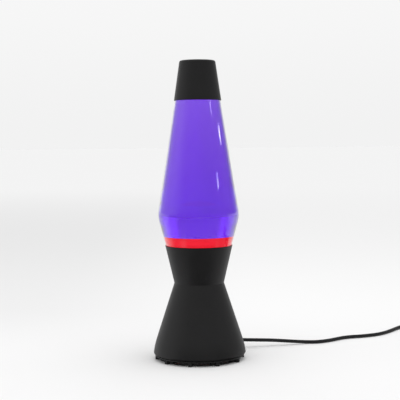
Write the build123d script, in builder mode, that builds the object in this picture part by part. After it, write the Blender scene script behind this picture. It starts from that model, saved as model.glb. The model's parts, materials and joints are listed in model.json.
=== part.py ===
from build123d import *
import os
from math import atan, cos, hypot, pi, radians, sin, sqrt, tan

# A lava lamp: a glass bottle of violet liquid and red wax, which stands in a two-cone metal base over a
# small reflector bulb, with a metal cap on its neck. Millimetres, +Z up. The origin is on the lamp's
# axis, on the surface that the feet stand on.

# ---- driving dimensions -------------------------------------------------------------------------------
overall_height = 430.0
running_gap = 0.05          # radial, shaft in hole
part_gap = 0.3              # between pieces that come apart

# metal base
shell_wall = 0.8
rim_height, rim_radius = 165.0, 48.6
waist_height, waist_radius = 110.5, 35.9
skirt_break_height, skirt_break_radius = 30.0, 62.2
skirt_curve = 110.0         # radius of the skirt's convex foot, seen from the side
shell_bottom = 8.5
lip_bend = 1.6
waist_opening = waist_radius - 13.4     # radius of the hole that the bulb shines through

# base plate
foot_count, foot_width, foot_phase = 10, 4.5, 5.3
flange_low, flange_thickness, flange_radius = 5.6, 1.4, skirt_break_radius + 2.3
step_radius, spigot_radius, spigot_height = skirt_break_radius + 0.1, skirt_break_radius - 4.2, 3.5
plate_thickness = 2.0
skirt_wall_radius, skirt_wall = spigot_radius + 1.0, 1.5
vent_circle, vent_length, vent_width, vent_turn = spigot_radius - 10.0, 11.0, 3.4, 6.5
plate_screw_shank, plate_screw_head, plate_screw_rise = 1.95, 3.8, 2.0

# strap that hangs from the waist and carries the lampholder
strap_width, strap_thickness = 14.0, 1.2
strap_reach = waist_radius - 7.7        # from the lamp's axis to the outside of an upright
strap_foot = 11.6           # underside of its cross bar
strap_screw_offset = strap_reach - 8.2
ear_reach = waist_radius - 1.6
rivet_circle, rivet_radius, rivet_head, countersink = waist_radius - 4.3, 1.2, 1.0, 0.6

# lampholder and bulb, for a 14 mm screw cap
holder_radius, holder_neck_radius, holder_height = 13.5, 12.6, 37.0
nipple_radius, nipple_bore = 5.0, 3.5
thread_major, thread_minor, thread_pitch = 6.9, 6.2, 2.82
contact_wall = 0.4
bulb_foot, bulb_length, bulb_radius = 31.0, 67.0, 19.5
bulb_wall = 0.6

# bottle and its contents
bulge_height, bulge_corner_radius, bulge_round = 207.1, 59.03, 43.0
upper_slope = 0.1598        # radius lost for each millimetre upwards
glass_wall = 2.2
neck_radius, finish_radius, finish_height, mouth_radius = 12.6, 13.3, 408.0, 9.0
shoulder_height = 385.0
wax_top, liquid_top = 178.4, 398.0
crown_wall, crown_radius, crown_skirt, flute_count = 0.35, 14.6, 5.6, 21

# cap
cap_bottom, cap_hem, cap_wall, cap_edge = 372.9, 1.6, 0.9, 3.0
cap_bottom_radius = bulge_corner_radius - upper_slope * (cap_bottom - bulge_height) + 1.465
cap_top_radius = cap_bottom_radius - 8.3

# cord and what is on it
cord_radius = 2.65
core_radius = 1.05
exit_azimuth, exit_height = 56.0, 16.0
coil_turns, coil_columns, coil_layers = 6, 3, 2
coil_mean_radius = 30.5
switch_length, switch_width, switch_split, switch_height = 62.0, 25.0, 7.5, 16.0
switch_wall = 1.8
plug_length, plug_width, plug_height, relief_length = 35.0, 26.0, 13.7, 22.0
pin_radius, pin_length, pin_spacing, pin_round = 2.0, 19.0, 18.6, 0.9
pin_root_radius, pin_root_length, pin_neck = 1.5, 8.0, 0.5

# The cord's route from the grommet to the switch, chosen by hand.
lead_in = 12.5              # straight stretch outside the grommet
lying = cord_radius + 0.05  # height of the cord's middle where it lies flat
run_points = [
    (59.5, 76.0, 11.7), (84.0, 80.0, 10.4), (112.0, 86.5, 8.6), (140.0, 92.5, 5.6),
    (163.0, 100.0, lying + 0.2), (183.0, 100.0, lying), (203.0, 112.0, lying), (230.0, 138.0, lying),
    (262.0, 146.0, lying), (290.0, 162.0, lying), (310.0, 187.0, lying), (330.0, 218.0, lying + 0.1),
    (342.6, 233.5, lying + 0.3), (360.7, 242.0, lying + 0.5), (380.7, 241.0, lying + 0.9),
    (397.8, 230.7, 4.8), (408.1, 213.5, switch_split), (409.1, 199.5, switch_split),
]
switch_inlet = 8.0          # how far the cord reaches into the switch
coil_lead = 58.0            # straight stretch from the switch to the coil's side
coil_lift = 0.8             # room for the tie under the coil
plug_points = [(417.9, 77.2, 3.5), (418.3, 57.5, 4.4), (417.6, 43.5, 6.9), (417.0, 35.5, 6.9)]

os.makedirs("parts", exist_ok=True)


# ---- helpers ------------------------------------------------------------------------------------------
def finish(builder, label):
    """Label a finished piece and write its file."""
    builder.part.label = label
    export_step(builder.part, f"parts/{label}.step")


def half_section(corners, rounds=()):
    """A closed half section from (radius, height) corners; rounds lists (corner's number, radius)."""
    with BuildSketch(Plane.XZ) as section:
        with BuildLine():
            Polyline(*corners, close=True)
        make_face()
        for number, radius in rounds:
            fillet(section.vertices().sort_by_distance((*corners[number], 0))[0], radius)
    return section.sketch


def screw(plane, shank_radius, length, head_radius, head_height):
    """A pan-head screw with a cross slot: its shank runs back from the plane and its head stands on it."""
    with BuildPart(plane) as fastener:
        Cylinder(shank_radius, length, align=(Align.CENTER, Align.CENTER, Align.MAX))
        Cylinder(head_radius, head_height, align=(Align.CENTER, Align.CENTER, Align.MIN))
        crown = plane.origin + plane.z_dir * head_height
        fillet(fastener.faces().sort_by_distance(crown)[0].edges(), head_height * 0.4)
        with Locations((0, 0, head_height)):
            for turn in (0, 90):
                Box(head_radius * 1.1, head_radius * 0.25, head_height * 0.9, rotation=(0, 0, turn),
                    mode=Mode.SUBTRACT)
    return fastener.part


def bend_radii(points):
    """The radius at each inner point: 0.45 of the shorter run over the tangent of half the turn."""
    radii = []
    for before, here, after in zip(points, points[1:], points[2:]):
        run_in, run_out = Vector(*here) - Vector(*before), Vector(*after) - Vector(*here)
        half_turn = radians(run_in.get_angle(run_out)) / 2
        radii.append(0.45 * min(run_in.length, run_out.length) / tan(half_turn))
    return radii


def tube(points, radius, label):
    """A round tube along straight runs joined by tangent arcs."""
    radii = bend_radii(points)
    print(label, "bend radii", [round(r, 1) for r in radii])
    with BuildPart() as run:
        with BuildLine() as route:
            FilletPolyline(*points, radius=radii)
        with BuildSketch(Plane(origin=points[0], z_dir=Vector(*points[1]) - Vector(*points[0]))):
            Circle(radius)
        sweep(path=route.wire())
    length = route.wire().length
    print(label, "length", round(length, 1),
          "volume share", round(run.part.volume / (pi * radius**2 * length), 4))
    return run.part, length


# ---- outlines that several pieces share ---------------------------------------------------------------
base_slope = (rim_radius - waist_radius) / (rim_height - waist_height)
skirt_slope = (skirt_break_radius - waist_radius) / (waist_height - skirt_break_height)
skirt_lean = atan(skirt_slope)
skirt_centre_r = skirt_break_radius - skirt_curve * cos(skirt_lean)
skirt_centre_z = skirt_break_height - skirt_curve * sin(skirt_lean)


def skirt_radius(height, depth=0.0):
    """Radius of the curved foot of the skirt at a height, or of a surface some depth inside it."""
    return skirt_centre_r + sqrt((skirt_curve - depth) ** 2 - (height - skirt_centre_z) ** 2)


def skirt_section(depth):
    """Half section of everything inside the lower shell's outer face, or inside a face parallel to it."""
    cone_shift = depth * hypot(1, skirt_slope)
    low, high = shell_bottom + depth, waist_height - depth
    lean_r = skirt_centre_r + (skirt_curve - depth) * cos(skirt_lean)
    lean_z = skirt_centre_z + (skirt_curve - depth) * sin(skirt_lean)
    middle_z = (lean_z + low) / 2
    with BuildSketch(Plane.XZ) as section:
        with BuildLine():
            Line((0, low), (skirt_radius(low, depth), low))
            ThreePointArc((skirt_radius(low, depth), low), (skirt_radius(middle_z, depth), middle_z),
                          (lean_r, lean_z))
            Polyline((lean_r, lean_z), (waist_radius + depth * skirt_slope - cone_shift, high), (0, high),
                     (0, low))
        make_face()
        corner = (skirt_radius(low, depth), low, 0)
        fillet(section.vertices().sort_by_distance(corner)[0], max(lip_bend - depth, 0.4))
    return section.sketch


seat_height = waist_height + shell_wall
seat_slope_shift = shell_wall * hypot(1, base_slope)


def bottle_section(depth):
    """Half section inside the bottle's outer face, or inside a face parallel to it by the glass wall."""
    lower_top = rim_radius - seat_slope_shift - part_gap
    lower_slope = (bulge_corner_radius - lower_top) / (bulge_height - rim_height)
    upper_shift = depth * hypot(1, upper_slope)
    lower_shift = depth * hypot(1, lower_slope)
    base_shift = depth * hypot(1, base_slope)
    bulge_rise = (lower_shift - upper_shift) / (upper_slope + lower_slope)
    foot = seat_height + depth
    foot_radius = lower_top - base_slope * (rim_height - foot) - base_shift
    shoulder = shoulder_height - depth * 0.8
    shoulder_radius = bulge_corner_radius - upper_slope * (shoulder - bulge_height) - upper_shift
    neck = neck_radius - depth if depth == 0 else mouth_radius
    top = liquid_top if depth else finish_height
    corners = [
        (0, foot), (foot_radius, foot), (lower_top - base_shift, rim_height),
        (bulge_corner_radius - upper_slope * bulge_rise - upper_shift, bulge_height + bulge_rise),
        (shoulder_radius, shoulder), (neck, shoulder + 7.0), (neck, top), (0, top),
    ]
    rounds = [(1, 8.0 - depth), (3, bulge_round - depth), (4, 10.0 - depth), (5, 3.0 + depth)]
    return half_section(corners, rounds)


# ---- the base's two shells ----------------------------------------------------------------------------
with BuildPart() as upper_cone:
    revolve(half_section([(waist_opening, waist_height), (waist_radius, waist_height),
                          (rim_radius, rim_height), (rim_radius - seat_slope_shift, rim_height),
                          (waist_radius + base_slope * shell_wall - seat_slope_shift, seat_height),
                          (waist_opening, seat_height)]), axis=Axis.Z)
    fillet(upper_cone.edges().group_by(Axis.Z)[-1], 0.35)
    with BuildSketch(Plane.XY.offset(seat_height)):
        with PolarLocations(rivet_circle, 4):
            Circle(rivet_radius + running_gap)
    extrude(amount=-shell_wall, mode=Mode.SUBTRACT)
    with Locations(Plane.XY.offset(seat_height)):
        with PolarLocations(rivet_circle, 4):
            Cone(rivet_radius + running_gap, 2 * rivet_radius, countersink,
                 align=(Align.CENTER, Align.CENTER, Align.MAX), mode=Mode.SUBTRACT)
finish(upper_cone, "upper_cone")

exit_plane = Plane(origin=(0, 0, exit_height),
                   x_dir=(cos(radians(exit_azimuth)), sin(radians(exit_azimuth)), 0), z_dir=(0, 0, 1))
exit_axis_plane = Plane(origin=(0, 0, exit_height), x_dir=(0, 0, 1),
                        z_dir=(cos(radians(exit_azimuth)), sin(radians(exit_azimuth)), 0))
grommet_radius, grommet_flange, grommet_lip = 4.0, 6.0, 1.6
exit_reach = skirt_radius(exit_height)

with BuildPart() as lower_cone:
    revolve(skirt_section(0), axis=Axis.Z)
    revolve(skirt_section(shell_wall), axis=Axis.Z, mode=Mode.SUBTRACT)
    with BuildSketch(Plane.XY.offset(waist_height)):
        Circle(waist_opening)
        with PolarLocations(rivet_circle, 4):
            Circle(rivet_radius + running_gap)
    extrude(amount=-2 * shell_wall, mode=Mode.SUBTRACT)
    with BuildSketch(Plane.XY.offset(shell_bottom - shell_wall)):
        Circle(spigot_radius + part_gap)
    extrude(amount=3 * shell_wall, mode=Mode.SUBTRACT)
    with BuildSketch(exit_axis_plane.offset(spigot_radius)):
        Circle(grommet_radius + running_gap)
    extrude(amount=20, mode=Mode.SUBTRACT)
finish(lower_cone, "lower_cone")

with BuildPart() as waist_rivets:
    with Locations(Plane.XY.offset(seat_height)):
        with PolarLocations(rivet_circle, 4):
            Cone(rivet_radius, 2 * rivet_radius - running_gap, countersink,
                 align=(Align.CENTER, Align.CENTER, Align.MAX))
            Cylinder(rivet_radius, 2 * shell_wall + 0.05, align=(Align.CENTER, Align.CENTER, Align.MAX))
    for number in range(4):
        spot = Vector(rivet_circle, 0, 0).rotate(Axis.Z, 90.0 * number)
        grip = 2 * shell_wall + (strap_thickness if number % 2 == 0 else 0)
        with Locations((spot.X, spot.Y, seat_height - grip)):
            Cylinder(rivet_radius, grip, align=(Align.CENTER, Align.CENTER, Align.MIN))
            Cylinder(1.8 * rivet_radius, rivet_head, align=(Align.CENTER, Align.CENTER, Align.MAX))
finish(waist_rivets, "waist_rivets")

# ---- strap, base plate and their screws ---------------------------------------------------------------
strap_top = waist_height - shell_wall
strap_screw_spots = [(-strap_screw_offset, 0), (strap_screw_offset, 0)]
with BuildPart() as holder_frame:
    with BuildSketch(Plane.XZ):
        with BuildLine():
            Polyline((-ear_reach, strap_top), (ear_reach, strap_top),
                     (ear_reach, strap_top - strap_thickness), (strap_reach, strap_top - strap_thickness),
                     (strap_reach, strap_foot), (-strap_reach, strap_foot),
                     (-strap_reach, strap_top - strap_thickness), (-ear_reach, strap_top - strap_thickness),
                     close=True)
        make_face()
        with BuildLine():
            inside = strap_reach - strap_thickness
            Polyline((-inside, strap_top), (inside, strap_top), (inside, strap_foot + strap_thickness),
                     (-inside, strap_foot + strap_thickness), close=True)
        make_face(mode=Mode.SUBTRACT)
    extrude(amount=strap_width / 2, both=True)
    uprights = holder_frame.edges().filter_by(Axis.Y)
    fillet(uprights.filter_by_position(Axis.Z, strap_foot - 0.01, strap_foot + 0.01), 2.0)
    inner_low = strap_foot + strap_thickness
    fillet(holder_frame.edges().filter_by(Axis.Y).filter_by_position(Axis.Z, inner_low - 0.01,
                                                                    inner_low + 0.01), 0.8)
    with BuildSketch(Plane.XY.offset(strap_foot)):
        Circle(nipple_radius + running_gap)
        with Locations(*strap_screw_spots):
            Circle(plate_screw_shank + running_gap)
    extrude(amount=strap_thickness, mode=Mode.SUBTRACT)
    with BuildSketch(Plane.XY.offset(strap_top)):
        with Locations((-rivet_circle, 0), (rivet_circle, 0)):
            Circle(rivet_radius + running_gap)
    extrude(amount=-strap_thickness, mode=Mode.SUBTRACT)
finish(holder_frame, "holder_frame")

plate_top = flange_low + plate_thickness
clamp_reach, clamp_screw_side, saddle_low = spigot_radius - 17.0, 8.5, exit_height - 0.8
clamp_length, clamp_side = 9.0, 12.0
plate_screw_seat = flange_low + 2.2
boss_radius, post_radius = 5.6, 3.2
foot_inner, foot_groove = spigot_radius - 18.0, 1.4
between_feet = foot_phase + 180.0 / foot_count
window_low, window_rise, window_width_between_feet = 1.7, 2.6, 20.0

with BuildPart() as base_plate:
    revolve(half_section([
        (0, flange_low), (flange_radius, flange_low), (flange_radius, flange_low + flange_thickness),
        (step_radius, flange_low + flange_thickness), (step_radius, shell_bottom),
        (spigot_radius, shell_bottom), (spigot_radius, shell_bottom + spigot_height),
        (spigot_radius - skirt_wall, shell_bottom + spigot_height), (spigot_radius - skirt_wall, plate_top),
        (0, plate_top)]), axis=Axis.Z)
    # recessed wall under the plate, with a window between each pair of feet
    with BuildSketch(Plane.XY.offset(flange_low)):
        Circle(skirt_wall_radius)
        Circle(skirt_wall_radius - skirt_wall, mode=Mode.SUBTRACT)
    extrude(amount=-(flange_low - 0.6))
    with BuildSketch(Plane.XY.offset(window_low)):
        with PolarLocations(skirt_wall_radius, foot_count, start_angle=between_feet):
            Rectangle(4 * skirt_wall, window_width_between_feet)
    extrude(amount=window_rise, mode=Mode.SUBTRACT)
    # rib feet, each with a groove down its outer end
    with BuildSketch(Plane.XY):
        with PolarLocations((foot_inner + flange_radius) / 2, foot_count, start_angle=foot_phase):
            Rectangle(flange_radius - foot_inner, foot_width)
        with PolarLocations(flange_radius, foot_count, start_angle=foot_phase):
            Rectangle(1.0, foot_groove, mode=Mode.SUBTRACT)
    extrude(amount=flange_low)
    # vents through the plate, two between each pair of feet
    with BuildSketch(Plane.XY.offset(flange_low)):
        for side in (-vent_turn, vent_turn):
            with PolarLocations(vent_circle, foot_count, start_angle=between_feet + side):
                SlotOverall(vent_length, vent_width)
    extrude(amount=plate_thickness, mode=Mode.SUBTRACT)
    # bosses for the strap, and the cord clamp's pad and posts
    with BuildSketch(Plane.XY.offset(plate_top)):
        with Locations(*strap_screw_spots):
            Circle(boss_radius)
    extrude(amount=strap_foot - plate_top)
    with Locations(exit_plane):
        with Locations((clamp_reach, 0, plate_top - exit_height)):
            Box(clamp_length, 7.0, exit_height - cord_radius - plate_top - 0.02,
                align=(Align.CENTER, Align.CENTER, Align.MIN))
        with Locations((clamp_reach, clamp_screw_side, plate_top - exit_height),
                       (clamp_reach, -clamp_screw_side, plate_top - exit_height)):
            Cylinder(post_radius, saddle_low - plate_top, align=(Align.CENTER, Align.CENTER, Align.MIN))
        with Locations((clamp_reach, clamp_screw_side, saddle_low - exit_height),
                       (clamp_reach, -clamp_screw_side, saddle_low - exit_height)):
            Cylinder(1.25, 4.0, align=(Align.CENTER, Align.CENTER, Align.MAX), mode=Mode.SUBTRACT)
    for hole_radius, hole_top in ((2.2, strap_foot), (plate_screw_head + 0.4, plate_screw_seat)):
        with BuildSketch(Plane.XY.offset(flange_low)):
            with Locations(*strap_screw_spots):
                Circle(hole_radius)
        extrude(amount=hole_top - flange_low, mode=Mode.SUBTRACT)
finish(base_plate, "base_plate")

with BuildPart() as plate_screws:
    for x, y in strap_screw_spots:
        add(screw(Plane(origin=(x, y, plate_screw_seat), z_dir=(0, 0, -1)), plate_screw_shank,
                  strap_foot + strap_thickness - plate_screw_seat + 1.0, plate_screw_head, plate_screw_rise))
finish(plate_screws, "plate_screws")

# ---- lampholder ---------------------------------------------------------------------------------------
holder_foot = strap_foot + strap_thickness
contact_well, contact_shelf = 27.0, 33.0
holder_top = holder_foot + holder_height
thread_low, thread_turns = 36.0, 5
holder_step = 24.0
terminal_in, terminal_out, terminal_near, terminal_far = 6.8, 11.4, 3.2, 8.0
terminal_low, terminal_high = 16.6, 21.4
terminal_middle, terminal_centre = (terminal_low + terminal_high) / 2, (terminal_in + terminal_out) / 2
terminal_screw_radius = 1.3
terminal_gap = 0.1
holder_plane = Plane(origin=(0, 0, 0), x_dir=exit_plane.x_dir, z_dir=(0, 0, 1))


def thread_wave(gap):
    """The rounded thread's outline, gap outside the bulb's own, as a list of arcs from low to high."""
    middle = (thread_major + thread_minor) / 2 + gap
    swing = (thread_major - thread_minor) / 2
    for turn in range(thread_turns):
        low = thread_low + turn * thread_pitch
        ThreePointArc((middle, low), (middle + swing, low + thread_pitch / 4),
                      (middle, low + thread_pitch / 2))
        ThreePointArc((middle, low + thread_pitch / 2), (middle - swing, low + 3 * thread_pitch / 4),
                      (middle, low + thread_pitch))


thread_high = thread_low + thread_turns * thread_pitch
thread_middle = (thread_major + thread_minor) / 2
holder_bore = thread_major + part_gap + contact_wall + 0.5

with BuildPart() as lampholder:
    revolve(half_section([(0, holder_foot), (holder_radius, holder_foot), (holder_radius, holder_step),
                          (holder_neck_radius, holder_step + 1.0), (holder_neck_radius, holder_top),
                          (holder_bore, holder_top), (holder_bore, contact_shelf), (6.0, contact_shelf),
                          (6.0, contact_well), (0, contact_well)]), axis=Axis.Z)
    with BuildSketch(Plane.XY.offset(holder_foot)):
        Circle(nipple_radius + running_gap)
    extrude(amount=8.0, mode=Mode.SUBTRACT)
    with Locations(holder_plane):
        for side in (-1, 1):
            with Locations((terminal_in - terminal_gap, side * (terminal_near - terminal_gap),
                            terminal_low - terminal_gap)):
                Box(12.0, 14.0, terminal_high - terminal_low + 2 * terminal_gap, mode=Mode.SUBTRACT,
                    align=(Align.MIN, Align.MIN if side > 0 else Align.MAX, Align.MIN))
finish(lampholder, "lampholder")

with BuildPart() as screw_contact:
    with BuildSketch(Plane.XZ):
        with BuildLine():
            thread_wave(part_gap)
            edge = thread_middle + part_gap
            outer = holder_bore - running_gap
            Polyline((edge, thread_high), (outer - 0.2, thread_high), (outer - 0.2, contact_shelf + 0.4),
                     (outer, contact_shelf + 0.4), (outer, contact_shelf), (edge, contact_shelf),
                     (edge, thread_low))
        make_face()
    revolve(axis=Axis.Z)
finish(screw_contact, "screw_contact")

with BuildPart() as centre_contact:
    with BuildSketch(Plane.XZ):
        with BuildLine():
            spring_top = bulb_foot - part_gap
            Polyline((-5.5, contact_well), (5.0, contact_well), (5.0, contact_well + 0.5),
                     (-4.4, contact_well + 0.5), (-4.4, spring_top - 0.5), (2.6, spring_top - 0.5),
                     (2.6, spring_top), (-5.0, spring_top), (-5.0, contact_well + 0.5),
                     (-5.5, contact_well + 0.5), close=True)
        make_face()
    extrude(amount=2.0, both=True)
finish(centre_contact, "centre_contact")

with BuildPart() as holder_terminals:
    with Locations(holder_plane):
        for side in (-1, 1):
            with Locations((terminal_in, side * terminal_near, terminal_low)):
                Box(terminal_out - terminal_in, terminal_far - terminal_near, terminal_high - terminal_low,
                    align=(Align.MIN, Align.MIN if side > 0 else Align.MAX, Align.MIN))
    for side in (-1, 1):
        face_middle = holder_plane.from_local_coords((terminal_centre, side * terminal_far, terminal_middle))
        with BuildSketch(Plane(origin=face_middle, z_dir=holder_plane.y_dir * side)):
            Circle(terminal_screw_radius + running_gap)
        extrude(amount=-3.0, mode=Mode.SUBTRACT)
finish(holder_terminals, "holder_terminals")

with BuildPart() as terminal_screws:
    for side in (-1, 1):
        head = holder_plane.from_local_coords((terminal_centre, side * (terminal_far + 0.6), terminal_middle))
        add(screw(Plane(origin=head, z_dir=holder_plane.y_dir * side), terminal_screw_radius, 3.2, 2.0, 1.2))
finish(terminal_screws, "terminal_screws")

with BuildPart() as holder_nipple:
    with BuildSketch(Plane.XY.offset(plate_top + 0.6)):
        Circle(nipple_radius)
        Circle(nipple_bore, mode=Mode.SUBTRACT)
    extrude(amount=holder_foot + 7.8 - plate_top - 0.6)
finish(holder_nipple, "holder_nipple")

with BuildPart() as holder_nut:
    with BuildSketch(Plane.XY.offset(strap_foot)):
        RegularPolygon(7.0, 6, major_radius=False)
        Circle(nipple_radius + running_gap, mode=Mode.SUBTRACT)
    extrude(amount=-2.8)
    chamfer(holder_nut.faces().sort_by(Axis.Z)[0].edges().filter_by(GeomType.LINE), 0.4)
finish(holder_nut, "holder_nut")

# ---- bulb ---------------------------------------------------------------------------------------------
bulb_top = bulb_foot + bulb_length
cap_top_bulb = thread_high + 3.6
cap_wall_bulb = 0.45
bulb_neck = thread_minor - cap_wall_bulb - running_gap
widest = bulb_top - 9.0

with BuildPart() as bulb_contact:
    revolve(half_section([(0, bulb_foot), (1.6, bulb_foot), (2.4, bulb_foot + 0.8), (2.4, bulb_foot + 1.4),
                          (0, bulb_foot + 1.4)]), axis=Axis.Z)
finish(bulb_contact, "bulb_contact")

with BuildPart() as bulb_insulator:
    revolve(half_section([(0, bulb_foot + 1.4), (2.9, bulb_foot + 1.4), (5.4, thread_low - 0.6),
                          (5.4, thread_low), (0, thread_low)]), axis=Axis.Z)
finish(bulb_insulator, "bulb_insulator")

with BuildPart() as bulb_cap:
    with BuildSketch(Plane.XZ):
        with BuildLine():
            thread_wave(0)
            cap_inside = thread_minor - cap_wall_bulb
            Polyline((thread_middle, thread_high), (thread_minor + 0.1, thread_high + 0.4),
                     (thread_minor + 0.1, cap_top_bulb), (cap_inside, cap_top_bulb),
                     (cap_inside, thread_low + 0.5),
                     (0, thread_low + 0.5), (0, thread_low), (thread_middle, thread_low))
        make_face()
    revolve(axis=Axis.Z)
finish(bulb_cap, "bulb_cap")


def bulb_section(depth):
    """Half section inside the bulb's outer glass, or inside a face parallel to it."""
    return half_section([
        (0, thread_low + 5.0 + depth), (bulb_neck - depth, thread_low + 5.0 + depth),
        (bulb_neck - depth, cap_top_bulb + 1.0), (bulb_neck + 2.2 - depth, cap_top_bulb + 5.0),
        (bulb_radius - depth, widest - 5.0), (bulb_radius - depth, widest + 4.0),
        (bulb_radius - 6.0 - depth, bulb_top - depth), (0, bulb_top - depth)],
        [(3, 6.0), (4, 9.0), (5, 5.0 - depth), (6, 7.0)])


with BuildPart() as bulb_glass:
    revolve(bulb_section(0), axis=Axis.Z)
    revolve(bulb_section(bulb_wall), axis=Axis.Z, mode=Mode.SUBTRACT)
finish(bulb_glass, "bulb_glass")

stem_foot = thread_low + 5.0 + bulb_wall
stem_top, filament_height, filament_reach, wire_radius = cap_top_bulb + 9.0, 84.0, 6.0, 0.35
with BuildPart() as bulb_stem:
    revolve(half_section([(0, stem_foot), (bulb_neck - bulb_wall, stem_foot), (2.6, stem_foot + 6.0),
                          (2.2, stem_top), (0, stem_top)]), axis=Axis.Z)
finish(bulb_stem, "bulb_stem")

with BuildPart() as bulb_wires:
    for side in (-1, 1):
        foot, head = Vector(side * 1.2, 0, stem_top), Vector(side * filament_reach, 0, filament_height)
        with BuildSketch(Plane(origin=foot, z_dir=head - foot)):
            Circle(wire_radius)
        extrude(amount=(head - foot).length)
    with BuildSketch(Plane.XY.offset(stem_top)):
        Circle(6.0)
    extrude(amount=-3.0, mode=Mode.SUBTRACT)
finish(bulb_wires, "bulb_wires")

with BuildPart() as filament:
    with BuildLine() as filament_line:
        ThreePointArc((-filament_reach, 0, filament_height + 0.5), (0, filament_reach, filament_height + 0.5),
                      (filament_reach, 0, filament_height + 0.5))
    with BuildSketch(Plane(origin=filament_line.line @ 0, z_dir=filament_line.line % 0)):
        Circle(0.5)
    sweep(path=filament_line.line)
finish(filament, "filament")

# ---- bottle and what is sealed in it ------------------------------------------------------------------
punt_radius, punt_rise = 23.0, 1.5
with BuildPart() as glass_bottle:
    revolve(bottle_section(0), axis=Axis.Z)
    with BuildSketch(Plane.XY.offset(finish_height)):
        Circle(finish_radius)
    extrude(amount=-5.0)
    fillet(glass_bottle.edges().group_by(Axis.Z)[-1], 1.2)
    revolve(bottle_section(glass_wall), axis=Axis.Z, mode=Mode.SUBTRACT)
    with BuildSketch(Plane.XY.offset(liquid_top - 1.0)):
        Circle(mouth_radius)
    extrude(amount=finish_height - liquid_top + 1.0, mode=Mode.SUBTRACT)
    with Locations((0, 0, seat_height)):
        Cone(punt_radius, punt_radius - 3.0, punt_rise, align=(Align.CENTER, Align.CENTER, Align.MIN),
             mode=Mode.SUBTRACT)
finish(glass_bottle, "glass_bottle")

spring_radius, spring_wire, spring_pitch, spring_turns = 19.0, 0.8, 3.4, 3
spring_foot = seat_height + glass_wall + spring_wire + 0.1
with BuildPart() as warming_coil:
    with BuildLine() as spring_line:
        Helix(pitch=spring_pitch, height=spring_pitch * spring_turns, radius=spring_radius,
              center=(0, 0, spring_foot))
    with BuildSketch(Plane(origin=spring_line.line @ 0, z_dir=spring_line.line % 0)):
        Circle(spring_wire)
    sweep(path=spring_line.line, is_frenet=True)
finish(warming_coil, "warming_coil")

contents_span = 2 * bulge_corner_radius
with BuildPart() as wax:
    revolve(bottle_section(glass_wall), axis=Axis.Z)
    with Locations((0, 0, wax_top)):
        Box(contents_span, contents_span, overall_height, align=(Align.CENTER, Align.CENTER, Align.MIN),
            mode=Mode.SUBTRACT)
    add(warming_coil.part, mode=Mode.SUBTRACT)
finish(wax, "wax")

with BuildPart() as violet_liquid:
    revolve(bottle_section(glass_wall), axis=Axis.Z)
    with Locations((0, 0, wax_top)):
        Box(contents_span, contents_span, overall_height, align=(Align.CENTER, Align.CENTER, Align.MAX),
            mode=Mode.SUBTRACT)
finish(violet_liquid, "violet_liquid")

liner_thickness = 1.0
with BuildPart() as crown_liner:
    with BuildSketch(Plane.XY.offset(finish_height)):
        Circle(finish_radius - 0.3)
    extrude(amount=liner_thickness)
finish(crown_liner, "crown_liner")

crown_top = finish_height + liner_thickness + crown_wall
with BuildPart() as crown_closure:
    with Locations((0, 0, crown_top)):
        Cone(crown_radius, finish_radius + 0.6, crown_skirt, align=(Align.CENTER, Align.CENTER, Align.MAX))
    with BuildSketch(Plane.XY.offset(crown_top - crown_skirt)):
        with PolarLocations(crown_radius, flute_count):
            Circle(1.15)
    extrude(amount=crown_skirt - 1.4, taper=14.0)
    fillet(crown_closure.faces().sort_by(Axis.Z)[-1].edges(), 0.5)
    with Locations((0, 0, crown_top - crown_wall)):
        Cone(crown_radius - crown_wall, finish_radius + 0.2, crown_skirt,
             align=(Align.CENTER, Align.CENTER, Align.MAX), mode=Mode.SUBTRACT)
finish(crown_closure, "crown_closure")

# ---- cap ----------------------------------------------------------------------------------------------
cap_slope = (cap_bottom_radius - cap_top_radius) / (overall_height - cap_bottom)
cap_shift = cap_wall * hypot(1, cap_slope)
bottle_at_cap = bulge_corner_radius - upper_slope * (cap_bottom + cap_hem - bulge_height)
hem_radius = bulge_corner_radius - upper_slope * (cap_bottom - bulge_height) + part_gap
inner_top = overall_height - cap_wall

with BuildPart() as top_cap:
    revolve(half_section([(0, cap_bottom), (cap_bottom_radius, cap_bottom), (cap_top_radius, overall_height),
                          (0, overall_height)], [(2, cap_edge), (1, 0.3)]), axis=Axis.Z)
    revolve(half_section([
        (0, cap_bottom - 1.0), (hem_radius + upper_slope, cap_bottom - 1.0),
        (bottle_at_cap + part_gap, cap_bottom + cap_hem),
        (cap_bottom_radius - cap_slope * cap_hem - cap_shift, cap_bottom + cap_hem + 0.4),
        (cap_top_radius + cap_slope * cap_wall - cap_shift, inner_top), (0, inner_top)],
        [(4, cap_edge - cap_wall)]), axis=Axis.Z, mode=Mode.SUBTRACT)
finish(top_cap, "top_cap")

# ---- cord anchorage -----------------------------------------------------------------------------------
tail_in, tail_out = clamp_reach - 7.0, exit_reach + grommet_lip
with BuildPart() as cord_tail:
    with BuildSketch(exit_axis_plane.offset(tail_in)):
        Circle(cord_radius)
    extrude(amount=tail_out - tail_in)
finish(cord_tail, "cord_tail")

with BuildPart() as shell_band:
    revolve(skirt_section(-running_gap), axis=Axis.Z)
    revolve(skirt_section(shell_wall + running_gap), axis=Axis.Z, mode=Mode.SUBTRACT)
    with BuildSketch(exit_axis_plane):
        Circle(grommet_radius)
    extrude(amount=2 * skirt_break_radius, mode=Mode.SUBTRACT)

with BuildPart() as cord_grommet:
    with BuildSketch(exit_axis_plane.offset(exit_reach - shell_wall - grommet_lip - 1.0)):
        Circle(grommet_flange)
    extrude(amount=shell_wall + 2 * grommet_lip + 1.0)
    with BuildSketch(exit_axis_plane.offset(exit_reach - shell_wall - grommet_lip - 1.0)):
        Circle(cord_radius)
    extrude(amount=shell_wall + 2 * grommet_lip + 1.0, mode=Mode.SUBTRACT)
    fillet(cord_grommet.edges().group_by(SortBy.LENGTH)[-1], 0.5)
    add(shell_band.part, mode=Mode.SUBTRACT)
finish(cord_grommet, "cord_grommet")

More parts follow.
